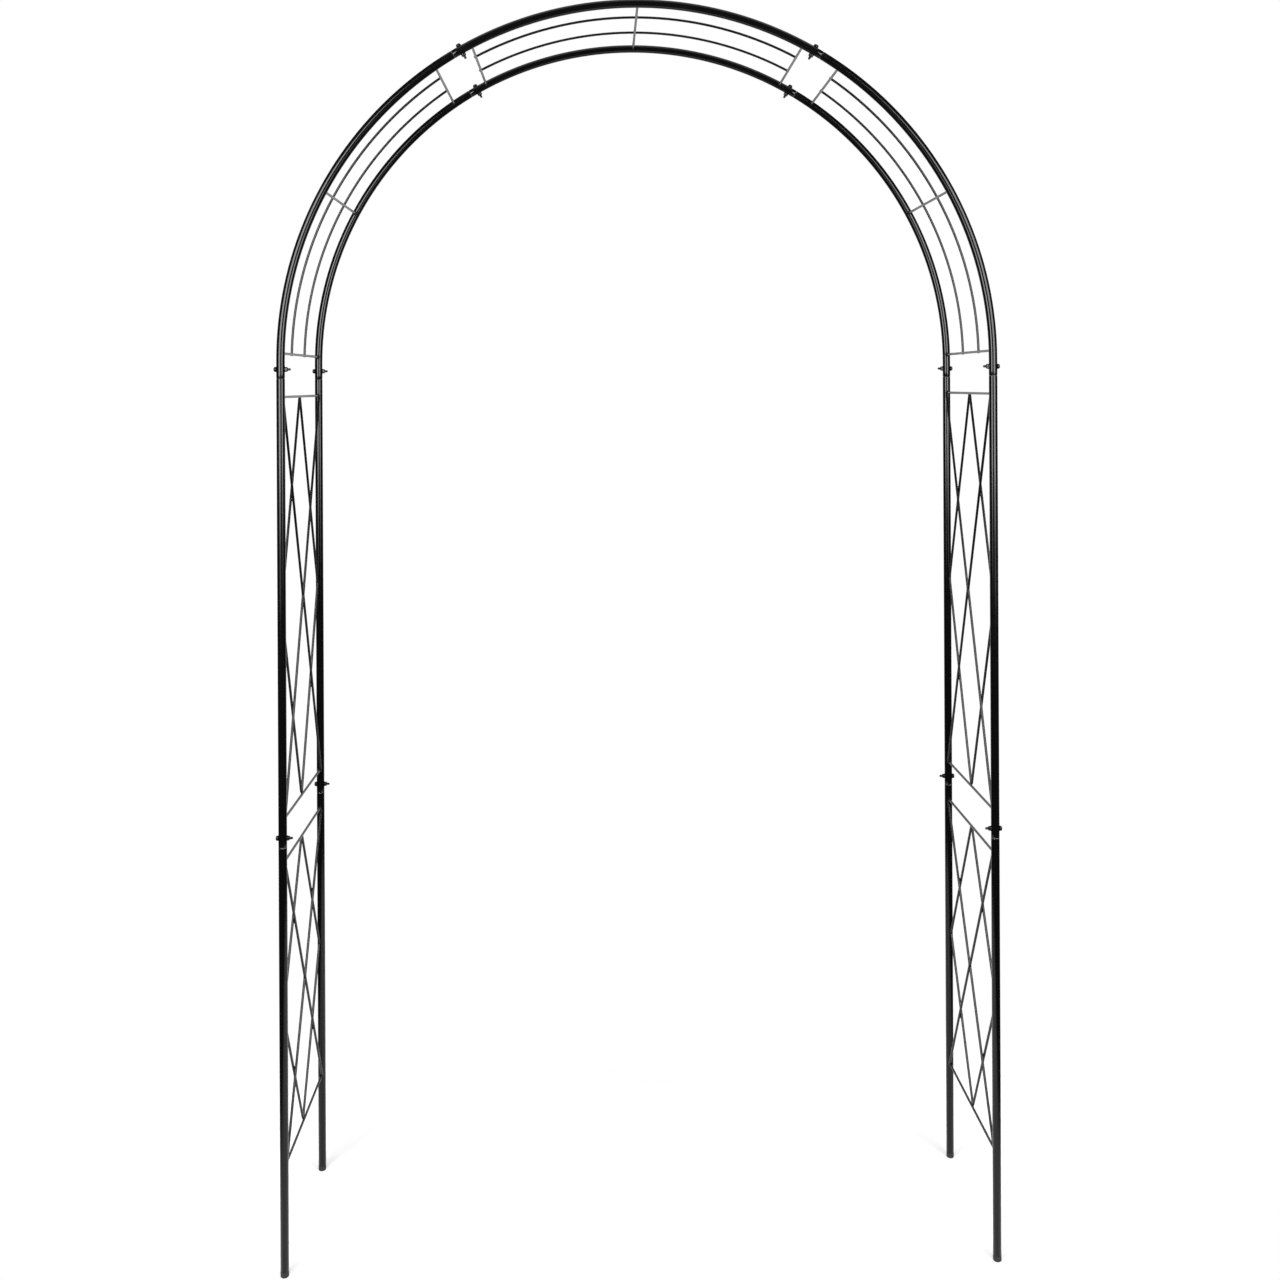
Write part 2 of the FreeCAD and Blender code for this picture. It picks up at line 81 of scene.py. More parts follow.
# The studio: a pale floor that fades into a white room. Behind the arch the room is bright, and in front of
# it the room is dim. A tall softbox stands on each side of the camera, dimmer below than above, and a wide
# one hangs overhead.
FLOOR_RADIUS = 1.4
FLOOR_PALE = (0.84, 0.84, 0.84, 1)
FLOOR_SCUFFED = (0.80, 0.80, 0.80, 1)
FLOOR_GLOW_NEAR = (0.31, 0.31, 0.31, 1)
FLOOR_GLOW_FAR = (0.95, 0.95, 0.95, 1)
FLOOR_GLOW_START = 0.5
FLOOR_GLOW_END = 1.5
FLOOR_FADE_START = 0.72
FLOOR_FADE_END = 1.2
ROOM_DIM = 0.05
ROOM_BRIGHT = 0.95
ROOM_DIM_HEADING = 0.45
ROOM_BRIGHT_HEADING = 0.95
SOFTBOXES = {
    # name: place, size, power in watts
    "left": ((-1.15, -1.75, 2.00), (1.2, 1.26), 62),
    "left_lower": ((-1.15, -1.75, 1.30), (1.2, 0.14), 3.4),
    "left_lowest": ((-1.15, -1.75, 1.12), (1.2, 0.22), 1.6),
    "right": ((1.25, -1.70, 2.00), (1.3, 1.26), 56),
    "right_lower": ((1.25, -1.70, 1.30), (1.3, 0.14), 3.1),
    "right_lowest": ((1.25, -1.70, 1.12), (1.3, 0.22), 1.5),
    "overhead": ((0, 0, 4.2), (3, 3), 30),
}


class Signal:
    """One output of a node. Sums on it add Math nodes to the recipe it belongs to."""

    def __init__(self, recipe, socket):
        self.recipe = recipe
        self.socket = socket

    def maths(self, operation, *terms):
        return self.recipe.node("ShaderNodeMath", {"operation": operation}, dict(enumerate(terms)))

    def __add__(self, other):
        return self.maths("ADD", self, other)

    def __sub__(self, other):
        return self.maths("SUBTRACT", self, other)

    def __rsub__(self, other):
        return self.maths("SUBTRACT", other, self)

    def __mul__(self, other):
        return self.maths("MULTIPLY", self, other)

    __radd__ = __add__
    __rmul__ = __mul__


class Recipe:
    """The nodes that make a finish, or the light of the room."""

    def __init__(self, owner):
        owner.use_nodes = True
        self.tree = owner.node_tree
        self.tree.nodes.clear()

    def node(self, kind, settings=None, sockets=None, output=0):
        """Add a node: its settings first, then the values or links of its sockets."""
        made = self.tree.nodes.new(kind)
        for name, setting in (settings or {}).items():
            setattr(made, name, setting)
        for name, value in (sockets or {}).items():
            if isinstance(value, Signal):
                self.tree.links.new(value.socket, made.inputs[name])
            else:
                made.inputs[name].default_value = value
        return Signal(self, made.outputs[output]) if made.outputs else None

    def place(self):
        """Where a point of the surface is, in metres."""
        return self.node("ShaderNodeTexCoord", output="Object")

    def axes(self, vector):
        """The x, y and z of a vector."""
        return [self.node("ShaderNodeSeparateXYZ", {}, {0: vector}, axis) for axis in range(3)]

    def noise(self, place, grain, detail=2, roughness=0.5):
        """Soft noise from 0 to 1, whose lumps are about as far apart as the grain says, in metres."""
        sockets = {"Vector": place, "Scale": 1 / grain, "Detail": detail, "Roughness": roughness}
        return self.node("ShaderNodeTexNoise", {}, sockets, "Fac")

    def ramp(self, value, start, end, low=0.0, high=1.0):
        """An eased step from low, at start, to high, at end."""
        sockets = {"Value": value, "From Min": start, "From Max": end, "To Min": low, "To Max": high}
        return self.node("ShaderNodeMapRange", {"interpolation_type": "SMOOTHSTEP"}, sockets)

    def tint(self, share, first, second):
        """The first colour where share is 0, the second where it is 1."""
        return self.node("ShaderNodeMix", {"data_type": "RGBA"}, {0: share, 6: first, 7: second}, 2)

    def bump(self, height, depth, under=None):
        """A relief as deep as depth, in metres, laid over another relief."""
        sockets = {"Height": height, "Distance": depth, "Strength": 1.0}
        if under is not None:
            sockets["Normal"] = under
        return self.node("ShaderNodeBump", {}, sockets)

    def finish(self, sockets):
        """End a material's recipe in one surface shader."""
        shader = self.node("ShaderNodeBsdfPrincipled", {}, sockets)
        self.node("ShaderNodeOutputMaterial", {}, {"Surface": shader})


room = bpy.data.worlds.new("white_room")
bpy.context.scene.world = room
recipe = Recipe(room)
heading = recipe.axes(recipe.node("ShaderNodeTexCoord", output="Generated"))[1]
glow = recipe.ramp(heading, ROOM_DIM_HEADING, ROOM_BRIGHT_HEADING, ROOM_DIM, ROOM_BRIGHT)
seen = recipe.node("ShaderNodeLightPath", output="Is Camera Ray")
glow = glow + seen * (1 - glow)
backdrop = recipe.node("ShaderNodeBackground", {}, {"Color": (1, 1, 1, 1), "Strength": glow})
recipe.node("ShaderNodeOutputWorld", {}, {"Surface": backdrop})

bpy.ops.mesh.primitive_circle_add(vertices=96, radius=FLOOR_RADIUS, fill_type="NGON")
floor = bpy.context.object
floor.name = "studio_floor"
floor_paint = bpy.data.materials.new("studio_floor")
recipe = Recipe(floor_paint)
spot = recipe.place()
out = recipe.node("ShaderNodeVectorMath", {"operation": "LENGTH"}, {0: spot}, "Value")
scuffs = recipe.noise(spot, 0.35, detail=4)
farness = recipe.ramp(out, FLOOR_GLOW_START, FLOOR_GLOW_END)
recipe.finish({
    "Base Color": recipe.tint(scuffs, FLOOR_PALE, FLOOR_SCUFFED),
    "Roughness": 0.55,
    "Emission Color": recipe.tint(farness, FLOOR_GLOW_NEAR, FLOOR_GLOW_FAR),
    "Emission Strength": 1.0,
    "Alpha": recipe.ramp(out, FLOOR_FADE_START, FLOOR_FADE_END, 1.0, 0.0),
})
floor.data.materials.append(floor_paint)

for name, (place, (width, height), power) in SOFTBOXES.items():
    bpy.ops.object.light_add(type="AREA", location=place)
    softbox = bpy.context.object
    softbox.name = "softbox_" + name
    softbox.data.shape = "RECTANGLE"
    softbox.data.size = width
    softbox.data.size_y = height
    softbox.data.energy = power
    softbox.visible_camera = False
    if name != "overhead":
        towards_arch = Vector((-place[0], -place[1], 0))
        softbox.rotation_euler = towards_arch.to_track_quat("-Z", "Y").to_euler()


# Tubes: round steel tube, 16 mm across with a 0.8 mm wall, bent to the hoop's curve. The upper end of each
# lower tube is swaged down into a spigot. Drilled for the joint bolts, then powder coated black.
TUBE_SIDES = 48
TUBE_WALL = 0.0008
TUBE_END_ROUNDING = 0.00015
SPIGOT_RADIUS = 0.00705
SPIGOT_LENGTH = 0.032
NECK_LENGTH = 0.0015
ARC_STEP = math.radians(1.5)
CROWN_SEAM_ANGLE = math.radians(58.8)
BOLT_ABOVE_SEAM = 0.018
BOLT_HOLE_RADIUS = 0.00275
HOLE_BAND = 0.006
TOLERANCE = 1e-6
SMOOTH_ANGLE = math.radians(26)
SHARP_ANGLE = math.radians(50)
COAT_BLACK = (0.0010, 0.0010, 0.0011, 1)
COAT_WORN_BLACK = (0.0024, 0.0024, 0.0026, 1)
COAT_SPECULAR = 0.28
BARE_STEEL = (0.42, 0.42, 0.43, 1)
PEEL_GRAIN = 0.0016
PEEL_DEPTH = 0.0000014
CHIP_GRAIN = 0.0022
CHIP_DEPTH = 0.00008
SEAM_WEAR = (0.85, 0.30, 0.35)

leg_low, leg_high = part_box("lower_right_front_leg")
tube_radius = (leg_high.x - leg_low.x) / 2
arch_radius = (leg_high.x + leg_low.x) / 2
half_depth = -(leg_high.y + leg_low.y) / 2
arch_centre = cad_high.z - tube_radius - arch_radius
leg_bottom = leg_low.z
mid_seam = leg_high.z - SPIGOT_LENGTH
spring_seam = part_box("upper_right_front_post")[1].z - SPIGOT_LENGTH
crown_seam = arch_centre + CROWN_SEAM_ANGLE * arch_radius
crown_end = arch_centre + math.pi * arch_radius - (crown_seam - arch_centre)
bolt_runs = [seam + BOLT_ABOVE_SEAM for seam in (mid_seam, spring_seam, crown_seam)]


def hoop_turn(run):
    """How far round the curve a length up the hoop is, measured from the ground on the right."""
    return max(0.0, run - arch_centre) / arch_radius


def hoop_point(run):
    """The centre line of the hoop, a length up from the ground on the right, in the arch's middle plane."""
    turn = hoop_turn(run)
    return Vector((arch_radius * math.cos(turn), 0, min(run, arch_centre) + arch_radius * math.sin(turn)))


def begin(name):
    """Open a new, empty mesh at the frame's origin for modelling."""
    bpy.ops.object.select_all(action="DESELECT")
    bpy.ops.object.add(type="MESH", location=(0, 0, 0))
    piece = bpy.context.object
    piece.name = name
    bpy.ops.object.mode_set(mode="EDIT")
    return piece


def draw_ring(centre, radius, sides, rotation=(0, 0, 0), fill="NOTHING"):
    """Add a ring or a disc of corners, and leave only that selected."""
    bpy.ops.mesh.select_all(action="DESELECT")
    bpy.ops.mesh.primitive_circle_add(
        vertices=sides, radius=radius, fill_type=fill, location=centre, rotation=rotation)


def pull(by):
    """Extrude what is selected."""
    bpy.ops.mesh.extrude_region_move(TRANSFORM_OT_translate={"value": by})


def swell(factor, centre):
    """Scale what is selected about a point."""
    bpy.ops.transform.resize(value=(factor, factor, factor), center_override=centre)


def spin(centre, axis, angle, steps):
    """Carry what is selected round an axis by the right-hand rule. The operator itself turns against it."""
    bpy.ops.mesh.spin(steps=steps, angle=-angle, center=centre, axis=axis)


def shade(piece, angle=SMOOTH_ANGLE):
    """Shade a piece smooth, except over edges that turn by more than an angle."""
    bpy.ops.object.select_all(action="DESELECT")
    piece.select_set(True)
    bpy.context.view_layer.objects.active = piece
    bpy.ops.object.shade_smooth_by_angle(angle=angle)


def close(piece):
    """Merge doubles, turn the faces outwards, leave edit mode and shade smooth."""
    if bpy.context.mode != "EDIT_MESH":
        bpy.ops.object.mode_set(mode="EDIT")
    bpy.ops.mesh.select_all(action="SELECT")
    bpy.ops.mesh.remove_doubles(threshold=TOLERANCE)
    bpy.ops.mesh.normals_make_consistent(inside=False)
    bpy.ops.object.mode_set(mode="OBJECT")
    shade(piece)
    return piece


def modify(piece, kind, settings):
    """Add a modifier to a piece and apply it."""
    bpy.context.view_layer.objects.active = piece
    modifier = piece.modifiers.new(kind.lower(), kind)
    for name, setting in settings.items():
        setattr(modifier, name, setting)
    bpy.ops.object.modifier_apply(modifier=modifier.name)


def soften(piece, width, steps=2):
    """Round the sharp edges of a piece."""
    modify(piece, "BEVEL", {
        "width": width, "segments": steps, "limit_method": "ANGLE", "angle_limit": SHARP_ANGLE})


def carve(piece, cutter, operation="DIFFERENCE"):
    """Cut a piece by another closed mesh."""
    modify(piece, "BOOLEAN", {"object": cutter, "operation": operation, "solver": "MANIFOLD"})


def draw_tube(name, stations):
    """A tube drawn up the right-hand hoop in its middle plane, through stations of (run, outer radius)."""
    tube = begin(name)
    run, radius = stations[0]
    draw_ring(hoop_point(run), radius, TUBE_SIDES, rotation=(0, -hoop_turn(run), 0))
    for next_run, next_radius in stations[1:]:
        if next_run <= arch_centre:
            pull((0, 0, next_run - run))
        else:
            turn = hoop_turn(next_run) - hoop_turn(run)
            spin((0, 0, arch_centre), (0, -1, 0), turn, max(1, round(turn / ARC_STEP)))
        swell(next_radius / radius, hoop_point(next_run))
        run, radius = next_run, next_radius
    close(tube)
    modify(tube, "SOLIDIFY", {"thickness": TUBE_WALL, "offset": -1, "use_even_offset": True})
    soften(tube, TUBE_END_ROUNDING)
    carve(tube, bolt_drill)
    shade(tube)
    return tube


def hole_stations(run, radius):
    """Stations just below and just above a bolt hole, which keep the long faces clear of it."""
    return [(run - HOLE_BAND, radius), (run + HOLE_BAND, radius)]


def placement(side, depth):
    """Carries a piece drawn on the right, in the arch's middle plane, to its own side and depth."""
    turn = Matrix.Rotation(0 if side == "right" else math.pi, 4, "Z")
    return Matrix.Translation((0, half_depth if depth == "rear" else -half_depth, 0)) @ turn


def fit(master, name, place, finish, slot, *nodes):
    """Put a copy of a master, with a mesh of its own, where it belongs on the arch."""
    piece = master.copy()
    piece.data = master.data.copy()
    piece.name = name
    piece.data.name = name
    piece.data.transform(place)
    piece.data.materials.clear()
    piece.data.materials.append(finish)
    bpy.context.scene.collection.objects.link(piece)
    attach(piece, "root")
    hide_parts(*nodes)
    return piece


def discard(*masters):
    """Take away masters and cutters once their copies are in place."""
    for master in masters:
        bpy.data.objects.remove(master)


tube_coat = bpy.data.materials.new("black_powder_coat")
recipe = Recipe(tube_coat)
spot = recipe.place()
east, _, up = recipe.axes(spot)
rise = up - arch_centre
sideways = east.maths("ABSOLUTE", east)
turn = rise.maths("ARCTAN2", rise.maths("MAXIMUM", rise, 0.0), sideways)
run = up.maths("MINIMUM", up, arch_centre) + turn * arch_radius
chips = recipe.ramp(recipe.noise(spot, CHIP_GRAIN, detail=3, roughness=0.7), 0.52, 0.62)
bare = 0.0
for seam, wear in zip((mid_seam, spring_seam, crown_seam), SEAM_WEAR):
    above_neck = run - (seam + NECK_LENGTH / 2)
    from_neck = above_neck.maths("ABSOLUTE", above_neck)
    bare = bare + recipe.ramp(from_neck, NECK_LENGTH * 0.5, NECK_LENGTH * 1.1, wear, 0.0) * chips
mottle = recipe.noise(spot, 0.05, detail=3)
smears = recipe.noise(spot, 0.012, detail=4, roughness=0.6)
peel = recipe.bump(recipe.noise(spot, PEEL_GRAIN, detail=1), PEEL_DEPTH)
recipe.finish({
    "Base Color": recipe.tint(bare, recipe.tint(mottle, COAT_BLACK, COAT_WORN_BLACK), BARE_STEEL),
    "Metallic": bare,
    "Roughness": recipe.ramp(smears, 0.25, 0.75, 0.10, 0.16) + bare * 0.2,
    "Specular IOR Level": COAT_SPECULAR,
    "Normal": recipe.bump(bare, -CHIP_DEPTH, under=peel),
})

drill_length = tube_radius * 3
bolt_drill = begin("bolt_drill")
for run in bolt_runs:
    bpy.ops.mesh.primitive_cylinder_add(
        vertices=32, radius=BOLT_HOLE_RADIUS, depth=drill_length, location=hoop_point(run),
        rotation=(0, math.radians(90) - hoop_turn(run), 0))
opposite = math.pi - hoop_turn(bolt_runs[2])
bpy.ops.mesh.primitive_cylinder_add(
    vertices=32, radius=BOLT_HOLE_RADIUS, depth=drill_length,
    location=hoop_point(arch_centre + opposite * arch_radius), rotation=(0, math.radians(90) - opposite, 0))
close(bolt_drill)

mid_bolt, spring_bolt, crown_bolt = bolt_runs
tubes = {
    "lower_{}_{}_leg": draw_tube("leg", [
        (leg_bottom, tube_radius),
        (mid_seam, tube_radius),
        (mid_seam + NECK_LENGTH, SPIGOT_RADIUS),
        *hole_stations(mid_bolt, SPIGOT_RADIUS),
        (mid_seam + SPIGOT_LENGTH, SPIGOT_RADIUS),
    ]),
    "upper_{}_{}_post": draw_tube("post", [
        (mid_seam + NECK_LENGTH, tube_radius),
        *hole_stations(mid_bolt, tube_radius),
        (spring_seam, tube_radius),
        (spring_seam + NECK_LENGTH, SPIGOT_RADIUS),
        *hole_stations(spring_bolt, SPIGOT_RADIUS),
        (spring_seam + SPIGOT_LENGTH, SPIGOT_RADIUS),
    ]),
    "{}_arc_{}_tube": draw_tube("arc", [
        (spring_seam + NECK_LENGTH, tube_radius),
        *hole_stations(spring_bolt, tube_radius),
        (arch_centre, tube_radius),
        (crown_seam, tube_radius),
        (crown_seam + NECK_LENGTH, SPIGOT_RADIUS),
        *hole_stations(crown_bolt, SPIGOT_RADIUS),
        (crown_seam + SPIGOT_LENGTH, SPIGOT_RADIUS),
    ]),
}
crown = draw_tube("crown", [
    (crown_seam + NECK_LENGTH, tube_radius),
    *hole_stations(crown_bolt, tube_radius),
    *[(crown_end + crown_seam - run, radius) for run, radius in hole_stations(crown_bolt, tube_radius)[::-1]],
    (crown_end - NECK_LENGTH, tube_radius),
])
for pattern, master in tubes.items():
    for side in ("left", "right"):
        for depth in ("front", "rear"):
            node = pattern.format(side, depth)
            fit(master, node + "_coated", placement(side, depth), tube_coat, "tube_coat", node)
for depth in ("front", "rear"):
    node = f"crown_{depth}_tube"
    fit(crown, node + "_coated", placement("right", depth), tube_coat, "tube_coat", node)
discard(bolt_drill, crown, *tubes.values())


# Rungs: 5 mm rods cut square and welded between the front and the rear tube. A bead of weld runs round
# each end and lies on the tube's curve. Coated black with the rest, a little more matt.
ROD_SIDES = 24
BEAD_RINGS = [
    # distance from the tube along the rung, how far the bead stands out from the rod there
    (0.0028, 0.00003),
    (0.0022, 0.00036),
    (0.0015, 0.00078),
    (0.0009, 0.00115),
    (0.0004, 0.00155),
    (0.0000, 0.00190),
]
BEAD_START = 0.0034
BEAD_SINK = 0.0003
BEAD_LUMPS = 0.00055
BEAD_LUMPS_LEVEL = 0.45
BEAD_GRAIN = 0.0022
ROD_BLACK = (0.0018, 0.0018, 0.0019, 1)
ROD_WORN_BLACK = (0.0038, 0.0038, 0.0040, 1)
ROD_SPECULAR = 0.35

rod_coat = bpy.data.materials.new("black_satin_coat")
recipe = Recipe(rod_coat)
spot = recipe.place()
mottle = recipe.noise(spot, 0.03, detail=3)
smears = recipe.noise(spot, 0.008, detail=4, roughness=0.6)
recipe.finish({
    "Base Color": recipe.tint(mottle, ROD_BLACK, ROD_WORN_BLACK),
    "Roughness": recipe.ramp(smears, 0.25, 0.75, 0.18, 0.28),
    "Specular IOR Level": ROD_SPECULAR,
    "Normal": recipe.bump(recipe.noise(spot, PEEL_GRAIN, detail=1), PEEL_DEPTH),
})

ripples = bpy.data.textures.new("weld_ripples", "CLOUDS")
ripples.noise_scale = BEAD_GRAIN
ripples.noise_depth = 1

rod_low, rod_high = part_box("lower_right_bottom_rung")
rod_radius = (rod_high.z - rod_low.z) / 2
tube_face = half_depth - tube_radius


def roughen(piece):
    """Raise the lumps of a hand-laid weld on a piece's beads. They differ from place to place on the arch."""
    modify(piece, "DISPLACE", {"texture": ripples, "texture_coords": "LOCAL", "vertex_group": "bead",
                               "strength": BEAD_LUMPS, "mid_level": BEAD_LUMPS_LEVEL})


def draw_rung():
    """A rung of the right-hand side at the height of the arch's centre, with its two beads.

    Each bead starts round, and its last rings are pushed on to the curve of the tube.
    """
    rung = begin("rung")
    draw_ring((arch_radius, 0, arch_centre), rod_radius, ROD_SIDES, rotation=(math.radians(90), 0, 0))
    at, radius = 0.0, rod_radius
    for from_tube, swelling in [(BEAD_START, 0.0), *BEAD_RINGS]:
        next_at = tube_face - from_tube
        next_radius = rod_radius + swelling
        pull((0, next_at - at, 0))
        swell(next_radius / radius, (arch_radius, next_at, arch_centre))
        at, radius = next_at, next_radius
    bpy.ops.mesh.edge_face_add()
    bpy.ops.object.mode_set(mode="OBJECT")
    bead = rung.vertex_groups.new(name="bead")
    first, last = BEAD_RINGS[0][0], BEAD_RINGS[-1][0]
    for corner in rung.data.vertices:
        nearness = (first - (tube_face - corner.co.y)) / (first - last)
        if nearness < 0.1:
            continue
        aside = corner.co.x - arch_radius
        seat = tube_radius - math.sqrt(tube_radius ** 2 - aside ** 2) + BEAD_SINK
        corner.co.y += seat * min(1.0, nearness)
        bead.add([corner.index], 1.0 if nearness < 0.9 else 0.3, "REPLACE")
    modify(rung, "MIRROR", {"use_axis": (False, True, False), "use_clip": True})
    return close(rung)


rung = draw_rung()
for node in sorted(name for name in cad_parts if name.endswith("_rung")):
    low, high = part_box(node)
    middle = (low + high) / 2
    if middle.z < arch_centre:
        turn = 0 if middle.x > 0 else math.pi
        place = Matrix.Translation((0, 0, middle.z - arch_centre)) @ Matrix.Rotation(turn, 4, "Z")
    else:
        turn = math.atan2(middle.z - arch_centre, middle.x)
        about = Matrix.Translation((0, 0, arch_centre))
        place = about @ Matrix.Rotation(-turn, 4, "Y") @ about.inverted()
    roughen(fit(rung, node + "_welded", place, rod_coat, "rod_coat", node))
discard(rung)


# Lattice wires: 5 mm rod bent once into a V. On each ladder two of them make a diamond on the outside and
# two a cross on the inside. They are welded to the rungs, to the tubes and to each other.
WIRE_SIDES = 16
WIRE_BEND_RADIUS = 0.008
WIRE_BEND_STEPS = 8
WIRE_END_ROUNDING = 0.0003
WELD_GAP = 0.00005
NUGGET_RADIUS = 0.0021
NUGGET_LENGTH = 0.0038
# where nuggets sit on a wire's weld to a rung and to a tube, as shares of the rod's radius
RUNG_WELD_OUT = 0.7
RUNG_WELD_IN = 0.9
TUBE_WELD_IN = 1.5

wire_layer = rod_radius + WELD_GAP
tube_reach = tube_radius + rod_radius + WELD_GAP
stand_off = math.sqrt(tube_reach ** 2 - wire_layer ** 2)


def add_nugget(centre, along):
    """A drop of weld metal in the mesh that is open, stretched along a direction."""
    facing = Vector(along).to_track_quat("Z", "Y")
    bpy.ops.mesh.select_all(action="DESELECT")
    bpy.ops.mesh.primitive_ico_sphere_add(
        subdivisions=3, radius=NUGGET_RADIUS, location=centre, rotation=facing.to_euler(),
        scale=(1, 1, NUGGET_LENGTH / NUGGET_RADIUS))


def draw_wire(name, layer, start, tip, low_rung, high_rung):
    """A wire in the plane of its layer, bent towards the rear: its ends at a depth start, its bend at tip."""
    half_rise = (high_rung - low_rung) / 2
    middle = (high_rung + low_rung) / 2
    lean = (tip - start) / math.hypot(tip - start, half_rise)
    end_height = half_rise - rod_radius - WELD_GAP - rod_radius * lean
    bend_centre = tip - WIRE_BEND_RADIUS
    reach = math.hypot(end_height, start - bend_centre)
    half_bend = math.atan2(end_height, start - bend_centre) - math.acos(WIRE_BEND_RADIUS / reach)
    bend_start = Vector((layer, bend_centre + WIRE_BEND_RADIUS * math.cos(half_bend),
                         middle - WIRE_BEND_RADIUS * math.sin(half_bend)))
    lower_end = Vector((layer, start, middle - end_height))
    upper_end = Vector((layer, start, middle + end_height))
    direction = bend_start - lower_end
    wire = begin(name)
    facing = direction.to_track_quat("Z", "Y").to_euler()
    draw_ring(lower_end, rod_radius, WIRE_SIDES, rotation=facing, fill="NGON")
    pull(direction)
    spin((layer, bend_centre, middle), (1, 0, 0), 2 * half_bend, WIRE_BEND_STEPS)
    bend_end = Vector((bend_start.x, bend_start.y, 2 * middle - bend_start.z))
    pull(upper_end - bend_end)
    close(wire)
    soften(wire, WIRE_END_ROUNDING)
    return wire


def weld(wire, spots):
    """Add nuggets of weld metal to a wire at spots of (centre, along)."""
    clean = len(wire.data.vertices)
    bpy.ops.object.mode_set(mode="EDIT")
    for centre, along in spots:
        add_nugget(centre, along)
    bpy.ops.object.mode_set(mode="OBJECT")
    shade(wire)
    group = wire.vertex_groups.new(name="bead")
    group.add(list(range(clean, len(wire.data.vertices))), 1.0, "REPLACE")


contact = tube_radius / tube_reach
rung_weld_out = arch_radius + rod_radius * RUNG_WELD_OUT
for level in ("lower", "upper"):
    low_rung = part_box(f"{level}_right_bottom_rung")[0].z + rod_radius
    high_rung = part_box(f"{level}_right_top_rung")[0].z + rod_radius
    middle = (low_rung + high_rung) / 2
    inner_depth = wire_layer
    outer_depth = half_depth - stand_off
    tube_touch = half_depth - stand_off * contact
    quarter = ((low_rung + middle) / 2, (high_rung + middle) / 2)
    crossing = (inner_depth + outer_depth) / 2

    outer = arch_radius + wire_layer
    diamond = draw_wire(f"{level}_diamond", outer, inner_depth, outer_depth, low_rung, high_rung)
    weld(diamond, [
        ((arch_radius + wire_layer * contact, tube_touch, middle), (0, 0, 1)),
        ((rung_weld_out, inner_depth, low_rung + rod_radius * RUNG_WELD_IN), (0, 1, 0)),
        ((rung_weld_out, inner_depth, high_rung - rod_radius * RUNG_WELD_IN), (0, 1, 0)),
        ((arch_radius, crossing, quarter[0]), (0, 0, 1)),
        ((arch_radius, crossing, quarter[1]), (0, 0, 1)),
    ])
    inner = arch_radius - wire_layer
    cross = draw_wire(f"{level}_cross", inner, -outer_depth, -inner_depth, low_rung, high_rung)
    weld(cross, [
        ((arch_radius - wire_layer, 0, middle), (0, 0, 1)),
        ((arch_radius - wire_layer * contact, -tube_touch, low_rung + rod_radius * TUBE_WELD_IN), (0, 0, 1)),
        ((arch_radius - wire_layer * contact, -tube_touch, high_rung - rod_radius * TUBE_WELD_IN), (0, 0, 1)),
    ])
    about = Matrix.Translation((0, 0, middle))
    for kind, master, drawn_depth in (("diamond", diamond, "rear"), ("cross", cross, "front")):
        for side in ("left", "right"):
            for depth in ("front", "rear"):
                node = f"{level}_{side}_{depth}_{kind}_wire"
                over = Matrix.Rotation(0 if depth == drawn_depth else math.pi, 4, "X")
                across = Matrix.Rotation(0 if side == "right" else math.pi, 4, "Y")
                place = about @ across @ over @ about.inverted()
                roughen(fit(master, node + "_welded", place, rod_coat, "rod_coat", node))
    discard(diamond, cross)


# Arc wires: 5 mm rod rolled to the hoop's curve and laid over the outside of the arc's rungs, two to each
# section. Their ends are cut square, just past the last rung, and a weld holds them at every rung.
WIRE_LAP = 0.003
wire_line = arch_radius + rod_radius * 2 + WELD_GAP


def rung_turn(node):
    """How far round the arch a rung is, from the horizontal on the right."""
    low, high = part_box(node)
    return math.atan2((low.z + high.z) / 2 - arch_centre, (low.x + high.x) / 2)


def draw_arc_wire(name, turns):
    """A wire in the arch's middle plane, over rungs at these turns round the arch."""
    start = min(turns) - WIRE_LAP / arch_radius
    end = max(turns) + WIRE_LAP / arch_radius
    wire = begin(name)
    place = Vector((wire_line * math.cos(start), 0, arch_centre + wire_line * math.sin(start)))
    draw_ring(place, rod_radius, WIRE_SIDES, rotation=(0, -start, 0), fill="NGON")
    spin((0, 0, arch_centre), (0, -1, 0), end - start, round((end - start) / ARC_STEP))
    close(wire)
    soften(wire, WIRE_END_ROUNDING)
    touch = arch_radius + rod_radius
    weld(wire, [
        ((touch * math.cos(turn), 0, arch_centre + touch * math.sin(turn)), (0, 1, 0)) for turn in turns
    ])
    return wire


arc_turns = [rung_turn(f"right_arc_{place}_rung") for place in ("bottom", "middle", "top")]
crown_turns = [rung_turn(f"crown_{place}_rung") for place in ("right", "middle", "left")]
arc_wire = draw_arc_wire("arc_wire", arc_turns)
crown_wire = draw_arc_wire("crown_wire", crown_turns)
for depth in ("front", "rear"):
    low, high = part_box(f"right_arc_{depth}_wire")
    shift = Matrix.Translation((0, (low.y + high.y) / 2, 0))
    for side in ("left", "right"):
        turn = Matrix.Rotation(0 if side == "right" else math.pi, 4, "Z")
        node = f"{side}_arc_{depth}_wire"
        roughen(fit(arc_wire, node + "_welded", shift @ turn, rod_coat, "rod_coat", node))
    node = f"crown_{depth}_wire"
    roughen(fit(crown_wire, node + "_welded", shift, rod_coat, "rod_coat", node))
discard(arc_wire, crown_wire)


